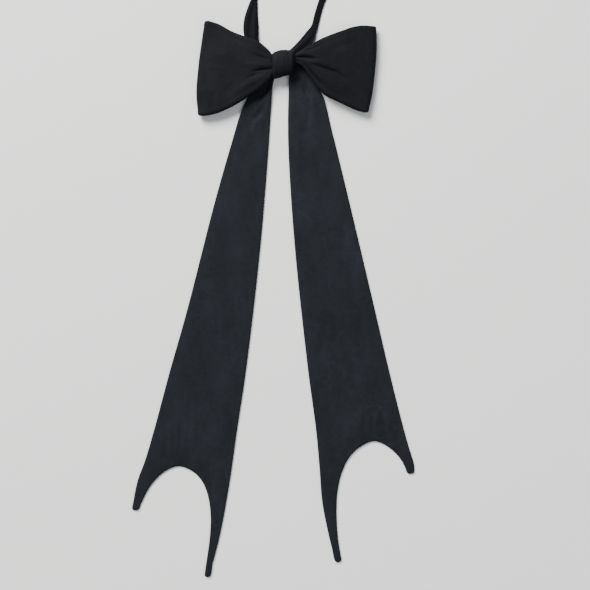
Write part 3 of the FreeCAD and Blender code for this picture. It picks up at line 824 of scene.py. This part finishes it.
def loop_surface(loop):
    """The middle of the folded sash as a grid: along the front layer, round the fold and back to the knot."""
    sign = loop["sign"]
    plan = loop_plan(loop)
    t_row = spread_columns()
    front_a = 1 - (1 - np.linspace(0, 1, 60)) ** 1.15
    back_a = front_a[::-1][1:]
    turn = np.linspace(0, math.pi, 13)[1:-1]

    def flat(a_row):
        a, t = np.meshgrid(a_row, t_row, indexing="ij")
        return a, t, plan(a, t)

    a, t, xy = flat(front_a)
    where = xy.reshape(-1, 2)
    crown = np.sin(np.pi * t) ** 0.6
    low = LOOP_REST + FOLD_RADIUS
    height = low + FOLD_RADIUS + 3.2 * (1 - a) ** 1.2 + 2.1 * np.sin(np.pi * np.clip(a, 0, 1)) ** 0.9 * crown
    settle = 1 - smooth(0.86, 1.0, a)
    folds = sum(crease(where, p, w, d) for p, w, d in loop["creases"]).reshape(a.shape)
    fan = 0.5 * np.sin(t * 17.0 + sign) * np.exp(-a / 0.14)
    soft = 0.4 * noise_at(where, 24.0, 2 + sign) + 0.07 * noise_at(where, 9.0, 5 + sign)
    soft = soft.reshape(a.shape)
    height = height + (folds + soft * smooth(0.05, 0.3, a)) * settle + fan
    height = GATHER_Z + (height - GATHER_Z) * gathered(a, t)
    front = np.dstack([xy, height])

    a_back, t_back, xy_back = flat(back_a)
    where_back = xy_back.reshape(-1, 2)
    back_height = LOOP_REST + 5.6 * (1 - a_back) ** 1.15
    back_soft = 0.3 * noise_at(where_back, 15.0, 8 + sign).reshape(a_back.shape)
    back_height = back_height + (back_soft + 0.3) * smooth(0, 0.3, a_back) * (1 - smooth(0.86, 1, a_back))
    back_height += 0.5 * np.sin(t_back * 17.0 + sign + 2.0) * np.exp(-a_back / 0.16)
    back_height = GATHER_Z + (back_height - GATHER_Z) * gathered(a_back, t_back)
    back = np.dstack([xy_back, back_height])

    edge, below = front[-1], back[0]
    centre = (edge + below) / 2
    radius = (edge[:, 2] - below[:, 2])[:, None] / 2
    rings = []
    for angle in turn:
        ring = centre.copy()
        ring[:, 0] += sign * FOLD_RADIUS * math.sin(angle)
        ring[:, 2] += (radius * math.cos(angle))[:, 0]
        rings.append(ring)
    grid = np.concatenate([front, np.array(rings), back])
    round_fold = math.pi * FOLD_RADIUS
    cloth_a = np.concatenate([
        front_a * LAYER_LENGTH, LAYER_LENGTH + turn * FOLD_RADIUS,
        LAYER_LENGTH + round_fold + (1 - back_a) * LAYER_LENGTH,
    ])
    cloth = np.dstack([*np.meshgrid(cloth_a, t_row * LOOP_WIDTH, indexing="ij"), np.zeros(grid.shape[:2])])
    if sign < 0:
        cloth[..., 0] *= -1
    return grid, cloth, t_row


def grid_normals(grid):
    """The direction away from a grid's surface at each of its points."""
    along, across = np.gradient(grid, axis=0), np.gradient(grid, axis=1)
    normal = np.cross(along, across)
    return normal / np.maximum(np.linalg.norm(normal, axis=2), 1e-9)[..., None]


def make_loop(side, materials):
    """A folded loop: outer ply, inner ply and the stiff layer between them."""
    loop = LOOPS[side]
    grid, cloth, t_row = loop_surface(loop)
    normal = grid_normals(grid) * loop["sign"]
    width = np.linalg.norm(np.diff(grid[:, :, :2], axis=1), axis=2).sum(axis=1)
    distance = np.minimum(t_row, 1 - t_row)[None, :] * width[:, None]
    half = sash_half(distance)[..., None]
    core = (CORE_HALF * smooth(SEAM_WIDTH - 1.5, SEAM_WIDTH, distance))[..., None]
    pieces = {}
    for name, outer, inner, slot in (
        ("outer", half, core + PLY_GAP, "sash_front"), ("inner", -core - PLY_GAP, -half, "sash_back"),
    ):
        verts, faces = grid_shell(grid + normal * outer, grid + normal * inner)
        if loop["sign"] < 0:
            faces = [f[::-1] for f in faces]
        # The outer ply takes the darker copy of the front cloth, whose darkness is painted shade.
        material = materials["loop" if name == "outer" else "back"]
        both_sides = np.concatenate([cloth.reshape(-1, 3)] * 2)
        pieces[name] = new_object(f"{side}_loop_{name}", verts, faces, both_sides, material)
        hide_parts(f"{side}_loop_{name}_ply")
    within = np.where(np.minimum(t_row, 1 - t_row) > STIFFENER_INSET)[0]
    rows = slice(STIFFENER_FROM_ROW, len(grid) - STIFFENER_FROM_ROW)
    columns = slice(within[0], within[-1] + 1)
    offset = normal[rows, columns] * STIFFENER_SHARE["loop"] * CORE_HALF
    verts, faces = grid_shell(grid[rows, columns] + offset, grid[rows, columns] - offset)
    if loop["sign"] < 0:
        faces = [f[::-1] for f in faces]
    both_sides = np.concatenate([cloth[rows, columns].reshape(-1, 3)] * 2)
    stiffener = new_object(f"{side}_loop_stiffener", verts, faces, both_sides, materials["felt"])
    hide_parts(f"{side}_loop_interlining")
    for piece in (*pieces.values(), stiffener):
        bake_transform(piece)


# ---------------------------------------------------------------- knot

KNOT_X = -1.5  # the wrap's middle


def wrap_surface():
    """The middle of the strip that is wrapped round the knot, as a grid: round it, then across it."""
    turns = np.linspace(0, 2 * math.pi, 121)[:-1]
    across = np.sin(np.linspace(-math.pi / 2, math.pi / 2, 41)) * 0.97
    phi, w = np.meshgrid(turns, across, indexing="ij")
    points = np.stack([phi.ravel() * 6, w.ravel() * 9], axis=1)
    # A flattened round section with a crowned middle and edges that roll in to the throat.
    flat_y = np.sign(np.cos(phi)) * np.abs(np.cos(phi)) ** 0.8
    flat_z = np.sign(np.sin(phi)) * np.abs(np.sin(phi)) ** 0.86
    shrink = 1 - 0.05 * np.abs(w) ** 2 - 0.2 * smooth(0.72, 1.0, np.abs(w))
    slant = 2.2 * w
    lines = 0.1 * np.sin(6.5 * w + 0.9 * np.sin(phi + 0.6) + slant * 0.3)
    lines = lines + 0.06 * np.sin(15 * w + 2.2 * np.cos(phi) + 2)
    wrinkles = 0.3 * noise_at(points, 6.0, 21).reshape(phi.shape)
    add = lines + wrinkles
    # The strip's ends are not square: its top is cut off at the left and its bottom rises to the right.
    top = 12.3 - 2.6 * smooth(-0.2, -1.0, w) + 1.2 * smooth(0.5, 1.0, w)
    bottom = -12.2 + 2.6 * (w + 0.7)
    y = (top + bottom) / 2 + ((top - bottom) / 2 + add) * flat_y * (0.5 + 0.5 * shrink)
    z = 8.75 + (7.35 + add) * flat_z * np.where(flat_z > 0, shrink, 0.6 + 0.4 * shrink)
    uneven = noise_at(points[:, :1].repeat(2, 1), 9.0, 5).reshape(phi.shape)
    half_width = 10.1 + 0.4 * np.sin(phi + 2.2) + 0.25 * uneven
    x = KNOT_X + w * half_width
    grid = np.dstack([x, y, np.maximum(z, 1.1)])
    cloth = np.dstack([phi * 10, w * 11, 0 * w])
    return grid, cloth


def make_knot(materials):
    """The wrap's two layers and the gathered cloth that they hold."""
    grid, cloth = wrap_surface()
    along = (np.roll(grid, -1, axis=0) - np.roll(grid, 1, axis=0)) / 2
    normal = np.cross(along, np.gradient(grid, axis=1))
    normal = -normal / np.linalg.norm(normal, axis=2)[..., None]
    if (normal[30, 20] * np.array([0, 0, 1])).sum() < 0:
        normal = -normal
    edge = np.sqrt(np.clip(1 - np.abs(np.linspace(-1, 1, grid.shape[1])) ** 6, 0.02, 1))[None, :, None]
    both_sides = np.concatenate([cloth.reshape(-1, 3)] * 2)
    for name, outer, inner, node, slot, material, flat in (
        ("knot_wrap", 0.55, 0.03, "knot_wrap_outer", "knot_cloth", "knot", (0.0205, 0.06)),
        ("wrap_inside", -0.03, -0.55, "knot_wrap_lining", "sash_back", "back", (0.0195, 0.056)),
    ):
        verts, faces = grid_shell(grid + normal * outer * edge, grid + normal * inner * edge, closed_u=True)
        piece = new_object(name, verts, faces, both_sides, materials[material])
        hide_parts(node)
        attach(piece, "knot")
    make_core(materials["front"])


def make_core(material):
    """The gathered cloth inside the knot: a bundle of pleats across it."""
    around = np.linspace(0, 2 * math.pi, 73)[:-1]
    xs = np.linspace(-6.0, 6.0, 19)
    rings, cloth = [], []
    for x in xs:
        pinch = 0.9 + 0.1 * (abs(x) / 6.0) ** 2
        folds = 1 + 0.07 * np.sin(9 * around + x / 6) + 0.03 * np.sin(17 * around - x / 4)
        y = 0.3 + 7.4 * pinch * folds * np.cos(around)
        z = 9.9 + 4.1 * pinch * folds * np.sin(around)
        rings.append(np.stack([np.full(len(around), KNOT_X + x), y, z], axis=1))
        cloth.append(np.stack([np.full(len(around), x), around * 12, 0 * around], axis=1))
    core = tube_object("knot_core_pleats", np.array(rings), np.array(cloth), material)
    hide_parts("knot_core")
    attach(core, "knot")


add_camera()
CLOTH = {
    "front": cloth_material("sash_front", (0.0102, 0.0116, 0.0147)),
    # The loops' outer ply: the same front cloth as the tails, made darker as painted shade for the loops.
    "loop": cloth_material("sash_front_loops_painted_shade", (0.0058, 0.0064, 0.0083), pattern=0.8),
    "back": cloth_material("sash_back", (0.0075, 0.0082, 0.0104), pattern=0.25, roughness=0.65),
    "knot": cloth_material("knot_cloth", (0.0062, 0.0065, 0.0084), pattern=0.4),
    "band": cloth_material("band_cloth", (0.0038, 0.0041, 0.0056), pattern=0.2),
    "felt": felt_material("interlining", (0.05, 0.05, 0.055)),
}
make_band(CLOTH["band"])
make_taper("left", CLOTH["band"])
make_taper("right", CLOTH["band"])
make_tail("left", CLOTH)
make_tail("right", CLOTH)
make_loop("left", CLOTH)
make_loop("right", CLOTH)
make_knot(CLOTH)
add_stage()
